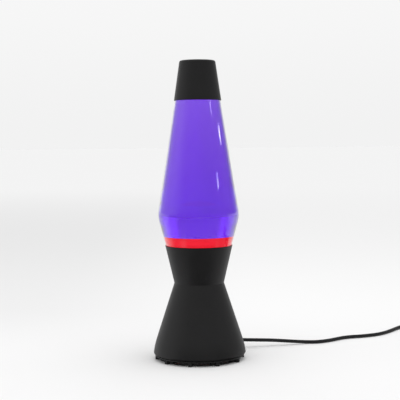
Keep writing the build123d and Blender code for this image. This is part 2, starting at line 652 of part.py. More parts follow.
saddle_high = exit_height + cord_radius + 2.4
with BuildPart() as cord_clamp:
    with BuildSketch(exit_axis_plane.offset(clamp_reach - clamp_length / 2)):
        with BuildLine():
            Polyline((saddle_low - exit_height, -clamp_side), (saddle_low - exit_height, clamp_side),
                     (1.6, clamp_side), (saddle_high - exit_height, clamp_side - 6.5),
                     (saddle_high - exit_height, -clamp_side + 6.5), (1.6, -clamp_side), close=True)
        make_face()
        Circle(cord_radius, mode=Mode.SUBTRACT)
    extrude(amount=clamp_length)
    with Locations(exit_plane):
        with Locations((clamp_reach, clamp_screw_side, 0), (clamp_reach, -clamp_screw_side, 0)):
            Cylinder(1.55, 20.0, mode=Mode.SUBTRACT)
            Cylinder(2.9, 6.8, align=(Align.CENTER, Align.CENTER, Align.MIN), mode=Mode.SUBTRACT)
finish(cord_clamp, "cord_clamp")

with BuildPart() as clamp_screws:
    for side in (-1, 1):
        seat = exit_plane.from_local_coords((clamp_reach, side * clamp_screw_side, 0))
        add(screw(Plane(origin=seat, z_dir=(0, 0, 1)), 1.2, 4.4, 2.6, 1.6))
finish(clamp_screws, "clamp_screws")

for label, side in (("live_wire", 1), ("neutral_wire", -1)):
    places = [(tail_in, side * 1.2, exit_height), (28.0, side * 1.2, exit_height),
              (22.0, side * 3.4, exit_height + 1.6), (16.5, side * 5.6, terminal_middle),
              (terminal_out, side * 5.6, terminal_middle)]
    points = [tuple(holder_plane.from_local_coords(place)) for place in places]
    core, _ = tube(points, core_radius, label)
    with BuildPart() as wire:
        add(core)
    finish(wire, label)

# ---- cord, switch, coil and plug ----------------------------------------------------------------------
exit_direction = Vector(cos(radians(exit_azimuth)), sin(radians(exit_azimuth)), 0)
cord_start = exit_direction * tail_out + Vector(0, 0, exit_height)
first_turn = cord_start + exit_direction * lead_in
switch_entry = Vector(*run_points[-1])
heading = (switch_entry - Vector(*run_points[-2])).normalized()
run_part, run_length = tube(
    [tuple(cord_start), tuple(first_turn), *run_points[:-1], tuple(switch_entry + heading * switch_inlet)],
    cord_radius, "cord_run")
with BuildPart() as cord_run:
    add(run_part)
finish(cord_run, "cord_run")

switch_middle = switch_entry + heading * (switch_length / 2)
switch_plane = Plane(origin=(switch_middle.X, switch_middle.Y, 0), x_dir=heading, z_dir=(0, 0, 1))
switch_end = switch_plane.from_local_coords((switch_length / 2, 0, switch_split))
window_length, window_width = 17.4, 9.6
pivot_height, trunnion_radius, trunnion_reach = 13.2, 1.2, 6.2
cheek_in, cheek_thickness = window_width / 2 + 0.1, 1.6
rocker_length, rocker_width, rocker_tilt = 16.0, window_width - 2 * part_gap, 8.0
screw_spots = [(-21.0, 6.8), (21.0, -6.8)]

with BuildPart(switch_plane) as switch_base:
    with BuildSketch(switch_plane):
        RectangleRounded(switch_length, switch_width, 9.0)
    extrude(amount=switch_split)
    fillet(switch_base.faces().sort_by(Axis.Z)[0].edges(), 2.0)
    with BuildSketch(switch_plane.offset(switch_wall)):
        RectangleRounded(switch_length - 8 * switch_wall, switch_width - 2 * switch_wall, 6.0)
    extrude(amount=switch_split, mode=Mode.SUBTRACT)
    with BuildSketch(switch_plane.offset(switch_wall - 0.1)):
        with Locations(*screw_spots):
            Circle(3.2)
    extrude(amount=switch_split - switch_wall + 0.1)
    with BuildSketch(switch_plane):
        with Locations(*screw_spots):
            Circle(1.6)
    extrude(amount=switch_split, mode=Mode.SUBTRACT)
    with BuildSketch(switch_plane):
        with Locations(*screw_spots):
            Circle(2.8)
    extrude(amount=2.0, mode=Mode.SUBTRACT)
    with BuildSketch(Plane(origin=switch_entry, z_dir=heading)):
        Circle(cord_radius + running_gap)
    extrude(amount=switch_length, mode=Mode.SUBTRACT)
finish(switch_base, "switch_base")

with BuildPart(switch_plane) as switch_cover:
    with BuildSketch(switch_plane.offset(switch_split)):
        RectangleRounded(switch_length, switch_width, 9.0)
    extrude(amount=switch_height - switch_split)
    fillet(switch_cover.faces().sort_by(Axis.Z)[-1].edges(), 3.0)
    with BuildSketch(switch_plane.offset(switch_split)):
        RectangleRounded(switch_length - 8 * switch_wall, switch_width - 2 * switch_wall, 6.0)
    extrude(amount=switch_height - switch_split - switch_wall, mode=Mode.SUBTRACT)
    with BuildSketch(switch_plane.offset(switch_split)):
        with Locations(*screw_spots):
            Circle(3.2)
    extrude(amount=switch_height - switch_split - switch_wall)
    with BuildSketch(switch_plane.offset(switch_split)):
        with Locations(*screw_spots):
            Circle(1.25)
    extrude(amount=6.0, mode=Mode.SUBTRACT)
    for side in (-1, 1):
        with BuildSketch(switch_plane.offset(pivot_height - 2.2)):
            with Locations((0, side * (cheek_in + cheek_thickness / 2))):
                Rectangle(5.0, cheek_thickness)
        extrude(amount=switch_height - switch_wall - pivot_height + 2.2)
    with BuildSketch(switch_plane.offset(pivot_height)):
        Rectangle(window_length, window_width)
    extrude(amount=switch_height, mode=Mode.SUBTRACT)
    with Locations((0, 0, pivot_height)):
        Cylinder(trunnion_radius + running_gap, 2 * (cheek_in + cheek_thickness), rotation=(90, 0, 0),
                 mode=Mode.SUBTRACT)
    with BuildSketch(Plane(origin=switch_entry, z_dir=heading)):
        Circle(cord_radius + running_gap)
    extrude(amount=switch_length, mode=Mode.SUBTRACT)
finish(switch_cover, "switch_cover")

with BuildPart() as switch_screws:
    for x, y in screw_spots:
        seat = switch_plane.from_local_coords((x, y, 2.0))
        add(screw(Plane(origin=seat, z_dir=(0, 0, -1)), 1.2, 9.0, 2.5, 1.6))
finish(switch_screws, "switch_screws")

with BuildPart(switch_plane) as switch_contacts:
    for end in (-1, 1):
        with Locations((end * 14.5, 0, switch_wall)):
            Box(6.0, 5.0, 4.2, align=(Align.CENTER, Align.CENTER, Align.MIN))
        with Locations((end * 8.6, 0, switch_wall)):
            Box(6.0, 4.0, 0.6, align=(Align.CENTER, Align.CENTER, Align.MIN))
        with Locations((end * 5.9, 0, switch_wall)):
            Box(0.6, 4.0, 7.4, align=(Align.CENTER, Align.CENTER, Align.MIN))
finish(switch_contacts, "switch_contacts")

rocker_axis = switch_plane.y_dir * -1
rocker_along = heading * cos(radians(rocker_tilt)) + Vector(0, 0, sin(radians(rocker_tilt)))
rocker_plane = Plane(origin=switch_plane.from_local_coords((0, 0, pivot_height)), x_dir=rocker_along,
                     z_dir=rocker_axis)
with BuildPart(rocker_plane) as switch_rocker:
    with BuildSketch(rocker_plane):
        half = rocker_length / 2
        with BuildLine():
            Polyline((-half, -0.6), (-2.6, -1.6), (2.6, -1.6), (half, -0.6), (half, 3.4), (0, 2.4),
                     (-half, 3.4), close=True)
        make_face()
    extrude(amount=rocker_width / 2, both=True)
    Cylinder(trunnion_radius, 2 * trunnion_reach)
finish(switch_rocker, "switch_rocker")

coil_touch = switch_end + heading * coil_lead
coil_outside = coil_mean_radius + cord_radius * (coil_columns - 1)
inward = Vector(heading.Y, -heading.X, 0)
coil_centre = coil_touch + inward * coil_outside
coil_half_width = coil_columns * cord_radius + 0.2
coil_height = 2 * coil_layers * cord_radius + 0.1
with BuildPart() as cord_coil:
    with BuildSketch(Plane(origin=(coil_centre.X, coil_centre.Y, 0), x_dir=(1, 0, 0), z_dir=(0, -1, 0))):
        with Locations((coil_mean_radius, coil_lift + coil_height / 2)):
            RectangleRounded(2 * coil_half_width, coil_height, 2.2)
    revolve(axis=Axis((coil_centre.X, coil_centre.Y, 0), (0, 0, 1)))
finish(cord_coil, "cord_coil")

tie_wall, tie_angle, tie_azimuth = 0.8, 16.0, 200.0
with BuildPart() as coil_tie:
    tie_direction = (cos(radians(tie_azimuth)), sin(radians(tie_azimuth)), 0)
    with BuildSketch(Plane(origin=(coil_centre.X, coil_centre.Y, 0), x_dir=tie_direction,
                           z_dir=Vector(0, 0, 1).cross(Vector(*tie_direction)) * -1)):
        with Locations((coil_mean_radius, coil_lift + coil_height / 2)):
            RectangleRounded(2 * (coil_half_width + tie_wall), coil_height + 2 * tie_wall, 2.2 + tie_wall)
            RectangleRounded(2 * coil_half_width, coil_height, 2.2, mode=Mode.SUBTRACT)
    revolve(axis=Axis((coil_centre.X, coil_centre.Y, 0), (0, 0, 1)), revolution_arc=tie_angle)
finish(coil_tie, "coil_tie")

with BuildPart() as cord_to_coil:
    with BuildSketch(Plane(origin=switch_end - heading * switch_inlet, z_dir=heading)):
        Circle(cord_radius)
    extrude(amount=switch_inlet + coil_lead)
    add(cord_coil.part, mode=Mode.SUBTRACT)
    with Locations(coil_touch):
        Box(50, 2 * coil_half_width + 24, 40, mode=Mode.SUBTRACT)
finish(cord_to_coil, "cord_to_coil")

plug_run, plug_run_length = tube(plug_points, cord_radius, "cord_to_plug")
with BuildPart() as cord_to_plug:
    add(plug_run)
    add(cord_coil.part, mode=Mode.SUBTRACT)
finish(cord_to_plug, "cord_to_plug")

plug_entry = Vector(*plug_points[-1])
plug_direction = (plug_entry - Vector(*plug_points[-2])).normalized()
plug_axis_plane = Plane(origin=plug_entry, x_dir=(0, 0, 1), z_dir=plug_direction)
plug_face = relief_length + plug_length     # from the cord's end to the face that the pins stand on
pin_spots = [(0, -pin_spacing / 2), (0, pin_spacing / 2)]
with BuildPart() as plug_body:
    with BuildSketch(plug_axis_plane):
        Circle(cord_radius + 1.1)
    with BuildSketch(plug_axis_plane.offset(relief_length)):
        Circle(cord_radius + 2.6)
    loft()
    with BuildSketch(plug_axis_plane.offset(relief_length)):
        RectangleRounded(plug_height - 3.0, plug_width - 10.0, 4.5)
    with BuildSketch(plug_axis_plane.offset(relief_length + 14.0)):
        RectangleRounded(plug_height, plug_width, 6.0)
    loft()
    with BuildSketch(plug_axis_plane.offset(relief_length + 14.0)):
        RectangleRounded(plug_height, plug_width, 6.0)
    extrude(amount=plug_length - 14.0)
    with BuildSketch(plug_axis_plane.offset(plug_face - pin_root_length)):
        with Locations(*pin_spots):
            Circle(pin_root_radius)
    extrude(amount=pin_root_length, mode=Mode.SUBTRACT)
finish(plug_body, "plug_body")

with BuildPart() as plug_pins:
    with BuildSketch(plug_axis_plane.offset(plug_face - pin_root_length)):
        with Locations(*pin_spots):
            Circle(pin_root_radius)
    extrude(amount=pin_root_length + pin_neck)
    with BuildSketch(plug_axis_plane.offset(plug_face + pin_neck)):
        with Locations(*pin_spots):
            Circle(pin_radius)
    extrude(amount=pin_length - pin_neck)
    tips = plug_pins.faces().sort_by(Axis(plug_entry, plug_direction))[-2:]
    fillet(tips.edges(), pin_round)
finish(plug_pins, "plug_pins")

coil_length = coil_turns * 2 * pi * coil_mean_radius
total = run_length + switch_length - 2 * switch_inlet + coil_lead + coil_length + plug_run_length
print("cord length, coil included", round(total))
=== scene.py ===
import json
from math import cos, hypot, pi, radians, sin, tan

import bmesh
import bpy
from mathutils import Matrix, Vector, noise


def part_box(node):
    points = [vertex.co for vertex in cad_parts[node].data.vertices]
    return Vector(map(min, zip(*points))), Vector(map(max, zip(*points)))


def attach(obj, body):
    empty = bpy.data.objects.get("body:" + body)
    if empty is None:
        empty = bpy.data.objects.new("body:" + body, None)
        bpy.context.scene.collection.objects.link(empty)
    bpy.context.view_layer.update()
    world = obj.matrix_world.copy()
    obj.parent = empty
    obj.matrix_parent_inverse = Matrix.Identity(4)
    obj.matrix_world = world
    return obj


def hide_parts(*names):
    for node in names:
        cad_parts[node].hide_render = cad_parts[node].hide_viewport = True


# A lava lamp on a plain studio floor. The metal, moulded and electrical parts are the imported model's own,
# with finishes made here. The bottle, the liquid, the wax and the cords are made here, as finer shapes, with
# the sleeve and the ribs that guard the cord's bends.

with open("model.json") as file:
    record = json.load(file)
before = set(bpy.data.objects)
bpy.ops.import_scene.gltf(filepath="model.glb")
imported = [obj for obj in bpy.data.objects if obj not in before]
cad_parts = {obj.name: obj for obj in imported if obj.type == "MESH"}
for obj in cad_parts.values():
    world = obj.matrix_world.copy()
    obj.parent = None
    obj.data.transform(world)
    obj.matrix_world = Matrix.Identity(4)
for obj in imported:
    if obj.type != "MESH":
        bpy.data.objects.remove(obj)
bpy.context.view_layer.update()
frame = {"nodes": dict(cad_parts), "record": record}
nodes = frame["nodes"]
slots = {part["node"]: part["material_slot"] for part in frame["record"]["subparts"]}

MM = 0.001


def placed(name, data):
    """A new object at the origin, linked to the scene."""
    made = bpy.data.objects.new(name, data)
    bpy.context.scene.collection.objects.link(made)
    return made


# ---- camera -------------------------------------------------------------------------------------------
def place_camera():
    """A long lens a metre and a half in front, a little above the lamp's middle and tipped down."""
    stand, tip, roll = Vector((0.0022, -1.502, 0.3126)), radians(3.15), radians(-0.5)
    lens = bpy.data.cameras.new("camera")
    lens.sensor_width, lens.lens = 36.0, 93.87
    camera = placed("camera", lens)
    camera.matrix_world = (Matrix.Translation(stand) @ Matrix.Rotation(pi / 2 - tip, 4, "X")
                           @ Matrix.Rotation(roll, 4, "Z"))
    bpy.context.scene.camera = camera
    bpy.context.scene.view_settings.view_transform = "Standard"


place_camera()

# ---- cords --------------------------------------------------------------------------------------------
# The routes' points and the coil's sizes are in millimetres.
CORD_RADIUS = 2.65 * MM
route_to_switch = [
    (37.68, 55.86, 16.0), (44.67, 66.22, 16.0), (59.5, 76.0, 11.7), (84.0, 80.0, 10.4),
    (112.0, 86.5, 8.6), (140.0, 92.5, 5.6), (163.0, 100.0, 2.9), (183.0, 100.0, 2.7),
    (203.0, 112.0, 2.7), (230.0, 138.0, 2.7), (262.0, 146.0, 2.7), (290.0, 162.0, 2.7),
    (310.0, 187.0, 2.7), (330.0, 218.0, 2.8), (342.6, 233.5, 3.0), (360.7, 242.0, 3.2),
    (380.7, 241.0, 3.6), (397.8, 230.7, 4.8), (408.1, 213.5, 7.5), (409.67, 191.52, 7.5),
]
route_to_coil = [(412.95, 145.64, 7.5), (414.3, 126.5, 7.5), (415.9, 104.0, 7.7)]
route_to_plug = [(417.95, 72.0, 3.5), (418.3, 57.5, 4.4), (417.6, 43.5, 6.9), (417.0, 35.5, 6.9)]
COIL_CENTRE, COIL_RADIUS, COIL_FOOT = (381.94, 77.25), 30.5, 0.85
COIL_TURNS, COIL_POINTS = 6, 16


def coil_points():
    """The winding: down through two layers of three turns, clockwise, from the east side back to it."""
    diameter = 2 * CORD_RADIUS / MM
    top, low = COIL_FOOT + 1.5 * diameter, COIL_FOOT + 0.5 * diameter
    outer, inner = COIL_RADIUS + diameter, COIL_RADIUS - diameter
    seats = [(outer, top), (COIL_RADIUS, top), (inner, top), (inner, low), (COIL_RADIUS, low), (outer, low)]
    crossing = 0.28         # share of a turn in which the cord steps over to the next seat
    inward_swing = 2.2      # how far the cord swings inwards on its way down
    points = []
    for number in range(COIL_TURNS * COIL_POINTS + 1):
        turned = number / COIL_POINTS
        seat = min(int(turned), len(seats) - 1)
        after = min(seat + 1, len(seats) - 1)
        step = max(0.0, (turned - seat - 1 + crossing) / crossing)
        step = step * step * (3 - 2 * step)
        radius = seats[seat][0] + step * (seats[after][0] - seats[seat][0])
        height = seats[seat][1] + step * (seats[after][1] - seats[seat][1])
        if seats[seat][1] != seats[after][1]:
            radius -= inward_swing * sin(pi * step)
        radius /= cos(pi / COIL_POINTS)         # the line runs inside its points by this share
        angle = -2 * pi * turned
        points.append((COIL_CENTRE[0] + radius * cos(angle), COIL_CENTRE[1] + radius * sin(angle), height))
    return points


def flex(name, route):
    """A round flex along one smooth line."""
    curve = bpy.data.curves.new(name, "CURVE")
    curve.dimensions = "3D"
    curve.bevel_depth, curve.bevel_resolution, curve.resolution_u = CORD_RADIUS, 6, 10
    curve.use_fill_caps = True
    line = curve.splines.new("NURBS")
    line.points.add(len(route) - 1)
    for control, place in zip(line.points, route):
        control.co = (*[MM * number for number in place], 1.0)
    line.order_u = 3
    line.use_endpoint_u = True
    return placed(name, curve)


def centreline(cord):
    """The points that a cord's own line runs through."""
    thin = cord.copy()
    thin.data = cord.data.copy()
    thin.data.bevel_depth = 0.0
    line = bpy.data.meshes.new_from_object(thin)
    places = [corner.co.copy() for corner in line.vertices]
    bpy.data.objects.remove(thin)
    return places


def length_of(places):
    return sum((after - before).length for before, after in zip(places, places[1:]))


lead_to_switch = flex("flex_to_switch", route_to_switch)
lead_to_plug = flex("flex_to_plug", route_to_coil + coil_points() + route_to_plug)


# ---- shader maths -------------------------------------------------------------------------------------
class Field:
    """A value that changes over a surface. Arithmetic on it adds Math nodes to its finish."""

    def __init__(self, finish, socket):
        self.finish, self.socket = finish, socket

    def math(self, operation, *values):
        return self.finish.node("ShaderNodeMath", {"operation": operation}, dict(enumerate(values)))

    def __add__(self, other):
        return self.math("ADD", self, other)

    __radd__ = __add__

    def __sub__(self, other):
        return self.math("SUBTRACT", self, other)

    def __rsub__(self, other):
        return self.math("SUBTRACT", other, self)

    def __mul__(self, other):
        return self.math("MULTIPLY", self, other)

    __rmul__ = __mul__

    def __truediv__(self, other):
        return self.math("DIVIDE", self, other)

    def __pow__(self, other):
        return self.math("POWER", self, other)

    def smoothly(self, low, high):
        """0 below low, 1 above high, and smooth between."""
        return self.finish.node("ShaderNodeMapRange", {"interpolation_type": "SMOOTHSTEP"},
                                {"Value": self, "From Min": low, "From Max": high})


class Finish:
    """A material under construction: its nodes, and the patterns that several finishes share."""

    def __init__(self, name, tree=None):
        if tree is None:
            self.material = bpy.data.materials.new(name)
            self.material.use_nodes = True
            tree = self.material.node_tree
        self.tree = tree
        self.tree.nodes.clear()

    def node(self, kind, settings, sockets, output=0):
        """Any node: its type, its settings, and the values or links of its sockets."""
        made = self.tree.nodes.new(kind)
        for name, value in settings.items():
            setattr(made, name, value)
        for name, value in sockets.items():
            if isinstance(value, Field):
                self.tree.links.new(value.socket, made.inputs[name])
            else:
                made.inputs[name].default_value = value
        return Field(self, made.outputs[output])

    def place(self, scale=(1.0, 1.0, 1.0), about=(0.0, 0.0, 0.0)):
        """Object coordinates in metres, counted from a point, each axis times its scale."""
        place = self.node("ShaderNodeTexCoord", {}, {}, "Object")
        shift = tuple(-here * times for here, times in zip(about, scale))
        return self.node("ShaderNodeMapping", {}, {"Vector": place, "Scale": scale, "Location": shift})

    def axes(self, vector):
        return [self.node("ShaderNodeSeparateXYZ", {}, {0: vector}, axis) for axis in "XYZ"]

    def cloud(self, grain, detail=2.0, stretch=(1.0, 1.0, 1.0), rough=0.5):
        """Soft noise around 0.5, with lumps about one grain across. The grain is in metres."""
        return self.node("ShaderNodeTexNoise", {},
                         {"Vector": self.place(stretch), "Scale": 1 / grain, "Detail": detail,
                          "Roughness": rough})

    def blend(self, share, first, second):
        """A colour between two, by a share from 0 to 1."""
        sockets = {0: share, 6: first, 7: second}
        for number in (6, 7):
            if not isinstance(sockets[number], Field):
                sockets[number] = (*sockets[number], 1.0)
        return self.node("ShaderNodeMix", {"data_type": "RGBA"}, sockets, 2)

    def relief(self, height, depth, strength=1.0):
        """A bump from a height that runs from 0 to 1, over a depth in metres."""
        return self.node("ShaderNodeBump", {}, {"Height": height, "Distance": depth, "Strength": strength})

    def in_gloss(self):
        """1 where a reflection is looked up, and 0 for plain sight and for light seen through glass."""
        gloss = self.node("ShaderNodeLightPath", {}, {}, "Is Glossy Ray")
        through = self.node("ShaderNodeLightPath", {}, {}, "Is Transmission Ray")
        return gloss * (1 - through)

    def surface(self, **sockets):
        """The shader itself, by its sockets' names with underscores, and the material's output."""
        named = {name.replace("_", " "): value for name, value in sockets.items()}
        for name, value in named.items():
            if name.endswith("Color") and not isinstance(value, Field):
                named[name] = (*value, 1.0)
        shader = self.node("ShaderNodeBsdfPrincipled", {}, named)
        self.ending = self.node_of("ShaderNodeOutputMaterial", {"Surface": shader})
        return self

    def node_of(self, kind, sockets):
        """An output node, which has no output of its own."""
        made = self.tree.nodes.new(kind)
        for name, value in sockets.items():
            self.tree.links.new(value.socket, made.inputs[name])
        return made


# ---- finishes -----------------------------------------------------------------------------------------
def spun_paint():
    """Satin black stove enamel on spun aluminium, bare on the side that faces the lamp's axis."""
    finish = Finish("satin_black_enamel")
    x, y, height = finish.axes(finish.place())
    facing_x, facing_y, facing_z = finish.axes(finish.node("ShaderNodeNewGeometry", {}, {}, "Normal"))
    outwards = (x * facing_x + y * facing_y) / ((x * x + y * y) ** 0.5 + 0.0001)
    bare = (outwards * -1).smoothly(0.5, 0.8)
    rings = finish.node("ShaderNodeTexNoise", {},
                        {"Vector": finish.place((0.02, 0.02, 1.0)), "Scale": 900.0, "Detail": 3.0})
    peel = finish.cloud(0.9 * MM, 1.0)
    patches = finish.cloud(18 * MM, 3.0)
    dust = finish.cloud(0.45 * MM, 0.0).smoothly(0.74, 0.80)
    paint = finish.blend(patches, (0.0075, 0.0075, 0.0080), (0.0115, 0.0110, 0.0115))
    paint = finish.blend(dust * 0.25, paint, (0.08, 0.08, 0.085))
    metal = finish.blend(rings, (0.52, 0.52, 0.54), (0.70, 0.70, 0.72))
    return finish.surface(
        Base_Color=finish.blend(bare, paint, metal), Metallic=bare,
        Roughness=0.44 + patches * 0.10 - bare * 0.14, Specular_IOR_Level=0.42,
        Normal=finish.relief(peel * 0.7 + rings * 0.3, 0.03 * MM)).material


def moulded_plastic():
    """Black moulded plastic with a fine spark-eroded grain and a few rubbed, smoother patches."""
    finish = Finish("grained_black_plastic")
    grain = finish.cloud(0.35 * MM, 2.0)
    rubbed = finish.cloud(9 * MM, 3.0)
    return finish.surface(
        Base_Color=finish.blend(rubbed, (0.012, 0.012, 0.012), (0.021, 0.021, 0.022)),
        Roughness=0.50 + grain * 0.16 - rubbed * 0.10, Specular_IOR_Level=0.45,
        Normal=finish.relief(grain, 0.05 * MM)).material


def flex_sheath():
    """Black soft vinyl sheath, with a dull bloom and a fine grain."""
    finish = Finish("black_vinyl_sheath")
    bloom = finish.cloud(6 * MM, 4.0)
    fine = finish.cloud(0.6 * MM, 2.0)
    return finish.surface(
        Base_Color=finish.blend(bloom, (0.004, 0.004, 0.0045), (0.012, 0.012, 0.013)),
        Roughness=0.46 + bloom * 0.14, Specular_IOR_Level=0.30,
        Normal=finish.relief(fine * 0.6 + bloom * 0.4, 0.05 * MM)).material


def blown_glass():
    """Clear bottle glass, with the faint unevenness of a blown wall."""
    finish = Finish("clear_bottle_glass")
    waves = finish.cloud(26 * MM, 1.0, (1.0, 1.0, 0.45))
    seeds = finish.cloud(1.3 * MM, 0.0).smoothly(0.80, 0.84)
    tint = finish.blend(seeds * 0.4, (0.985, 0.99, 0.985), (0.90, 0.92, 0.91))
    rim = finish.node("ShaderNodeLayerWeight", {}, {"Blend": 0.5}, "Facing") ** 1.5
    return finish.surface(
        Base_Color=tint, Roughness=0.0, IOR=1.5, Transmission_Weight=1.0, Coat_Weight=rim,
        Coat_Roughness=0.0, Coat_IOR=1.9,
        Normal=finish.relief(waves, 0.10 * MM)).material


def violet_dye():
    """Clear violet water. Its colour deepens with the thickness that light crosses."""
    finish = Finish("violet_water")
    swirl = finish.cloud(34 * MM, 2.0, (1.0, 1.0, 0.5))
    finish.surface(
        Base_Color=finish.blend(swirl, (0.36, 0.34, 0.98), (0.41, 0.40, 1.0)),
        Roughness=0.0, IOR=1.36, Transmission_Weight=1.0)
    absorption = finish.node("ShaderNodeVolumeAbsorption", {},
                             {"Color": (0.71, 0.03, 0.955, 1.0), "Density": 30.0})
    finish.tree.links.new(absorption.socket, finish.ending.inputs["Volume"])
    return finish.material


def cold_wax():
    """Red paraffin wax with a faintly marbled skin. Its weak glow stands for light scattered inside it."""
    finish = Finish("red_paraffin_wax")
    marbling = finish.cloud(16 * MM, 4.0, (1.0, 1.0, 1.8), 0.6)
    skin = finish.cloud(3.5 * MM, 2.0)
    return finish.surface(
        Base_Color=finish.blend(marbling, (0.80, 0.004, 0.020), (0.95, 0.012, 0.045)),
        Emission_Color=finish.blend(marbling, (0.80, 0.0, 0.016), (0.95, 0.008, 0.040)),
        Emission_Strength=0.45, Roughness=0.30 + skin * 0.2, Specular_IOR_Level=0.3,
        Normal=finish.relief(skin, 0.15 * MM)).material


def bare_metal(name, dark, light, roughness):
    """A bare or plated metal with a fine grain, a little dulled in patches."""
    finish = Finish(name)
    grain = finish.cloud(0.5 * MM, 3.0)
    tarnish = finish.cloud(7 * MM, 3.0)
    return finish.surface(
        Base_Color=finish.blend(tarnish * 0.6 + grain * 0.4, dark, light), Metallic=1.0,
        Roughness=roughness + tarnish * 0.14 + grain * 0.06,
        Normal=finish.relief(grain, 0.01 * MM)).material


def plain_sheath(name, dark, light, roughness):
    """A coloured insulating or padding material, slightly mottled."""
    finish = Finish(name)
    mottle = finish.cloud(2.5 * MM, 3.0)
    return finish.surface(
        Base_Color=finish.blend(mottle, dark, light), Roughness=roughness + mottle * 0.1,
        Normal=finish.relief(mottle, 0.04 * MM)).material


def reflector_glass():
    """Bulb glass: silvered inside from the neck to the widest part, frosted over the front."""
    finish = Finish("reflector_bulb_glass")
    height = finish.axes(finish.place())[2]
    low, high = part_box("bulb_glass")[0].z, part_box("bulb_glass")[1].z
    silver = 1 - height.smoothly(high - 13 * MM, high - 11 * MM)
    silver = silver * height.smoothly(low + 14 * MM, low + 15 * MM)
    mist = finish.cloud(0.5 * MM, 2.0)
    return finish.surface(
        Base_Color=finish.blend(silver, (0.93, 0.93, 0.93), (0.80, 0.80, 0.82)), Metallic=silver,
        Roughness=0.34 - silver * 0.26 + mist * 0.06, IOR=1.5, Transmission_Weight=1.0,
        Normal=finish.relief(mist, 0.01 * MM)).material


def clear_stem_glass():
    """The clear glass stem inside the bulb, a little smoky at its foot."""
    finish = Finish("clear_stem_glass")
    height = finish.axes(finish.place())[2]
    low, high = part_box("bulb_stem")[0].z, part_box("bulb_stem")[1].z
    return finish.surface(
        Base_Color=finish.blend(height.smoothly(low, high), (0.70, 0.70, 0.68), (0.97, 0.97, 0.96)),
        Roughness=0.02, IOR=1.52, Transmission_Weight=1.0).material


finishes = {
    "black_paint": spun_paint(),
    "black_plastic": moulded_plastic(),
    "black_cord": flex_sheath(),
    "bottle_glass": blown_glass(),
    "violet": violet_dye(),
    "red_wax": cold_wax(),
    "steel": bare_metal("zinc_plated_steel", (0.46, 0.47, 0.49), (0.62, 0.63, 0.65), 0.28),
    "brass": bare_metal("rolled_brass", (0.62, 0.43, 0.17), (0.82, 0.62, 0.28), 0.24),
    "nickel": bare_metal("nickel_plate", (0.58, 0.56, 0.52), (0.74, 0.72, 0.68), 0.14),
    "crown_tin": bare_metal("lacquered_tinplate", (0.62, 0.60, 0.54), (0.78, 0.76, 0.70), 0.22),
    "bulb_glass": reflector_glass(),
    "stem_glass": clear_stem_glass(),
    "insulator": plain_sheath("black_glass_insulator", (0.012, 0.012, 0.014), (0.03, 0.03, 0.034), 0.12),
    "wire_blue": plain_sheath("blue_core_sheath", (0.02, 0.07, 0.30), (0.03, 0.11, 0.42), 0.4),
    "wire_brown": plain_sheath("brown_core_sheath", (0.09, 0.035, 0.015), (0.14, 0.06, 0.03), 0.4),
    "liner": plain_sheath("pale_foam_liner", (0.62, 0.60, 0.54), (0.80, 0.78, 0.72), 0.7),
    "tie_band": plain_sheath("black_tie_band", (0.010, 0.010, 0.010), (0.03, 0.03, 0.03), 0.55),
}
for node, slot in slots.items():
    for place in nodes[node].material_slots:
        place.material = finishes[slot]


def dress(piece, body, slot, *stands_for):
    """Give a new piece its finish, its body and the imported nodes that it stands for."""
    piece.data.materials.clear()
    piece.data.materials.append(finishes[slot])
    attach(piece, body)
    if stands_for:
        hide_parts(*stands_for)


# ---- bottle, liquid and wax ---------------------------------------------------------------------------
# Heights and radii in millimetres. A slope is the change of radius over height.
GLASS_WALL = 2.2
SEAT, RIM, BULGE, SHOULDER, NECK_FOOT, MOUTH = 111.3, 165.0, 207.1, 385.0, 392.0, 408.0
RIM_RADIUS, BULGE_RADIUS, NECK_RADIUS, MOUTH_RADIUS, BEAD_RADIUS = 47.48, 59.03, 12.6, 9.0, 13.3
SEAT_SLOPE, LOWER_SLOPE, UPPER_SLOPE = 0.2330, 0.2744, 0.1598
WAX_TOP, LIQUID_TOP = 178.4, 398.0
KEYING = 0.12               # how far the contents reach into the glass, so that no film of air is left
WAX_EDGE = 46.0             # radius past which the wax's face stays level, where it meets the glass


def rounded(corners, rounds, steps=18):
    """The outline's points, with an arc of the given radius at each numbered corner."""
    line = []
    for number, here in enumerate(corners):
        radius = rounds.get(number)
        if radius is None:
            line.append(here)
            continue
        here = Vector(here)
        back = (Vector(corners[number - 1]) - here).normalized()
        on = (Vector(corners[number + 1]) - here).normalized()
        half = back.angle(on) / 2
        centre = here + (back + on).normalized() * (radius / sin(half))
        start, end = here + back * (radius / tan(half)) - centre, here + on * (radius / tan(half)) - centre
        sweep = start.angle(end)
        for step in range(steps + 1):
            share = step / steps
            arm = (start * sin((1 - share) * sweep) + end * sin(share * sweep)) / sin(sweep)
            line.append(tuple(centre + arm))
    return line


def bottle_wall(depth):
    """The bottle's outline from its foot to its neck, some depth inside its outer face."""
    seat_shift, lower_shift, upper_shift = [depth * hypot(1, slope)
                                            for slope in (SEAT_SLOPE, LOWER_SLOPE, UPPER_SLOPE)]
    rise = (lower_shift - upper_shift) / (UPPER_SLOPE + LOWER_SLOPE)
    foot, shoulder = SEAT + depth, SHOULDER - 0.8 * depth
    foot_radius = RIM_RADIUS - SEAT_SLOPE * (RIM - foot) - seat_shift
    neck = NECK_RADIUS + (MOUTH_RADIUS - NECK_RADIUS) * depth / GLASS_WALL
    corners = [
        (0.0, foot), (foot_radius, foot), (RIM_RADIUS - seat_shift, RIM),
        (BULGE_RADIUS - UPPER_SLOPE * rise - upper_shift, BULGE + rise),
        (BULGE_RADIUS - UPPER_SLOPE * (shoulder - BULGE) - upper_shift, shoulder),
        (neck, shoulder + NECK_FOOT - SHOULDER), (neck, LIQUID_TOP),
    ]
    return rounded(corners, {1: 8.0 - depth, 2: 60.0, 3: 43.0 - depth, 4: 10.0 - depth, 5: 3.0 + depth})


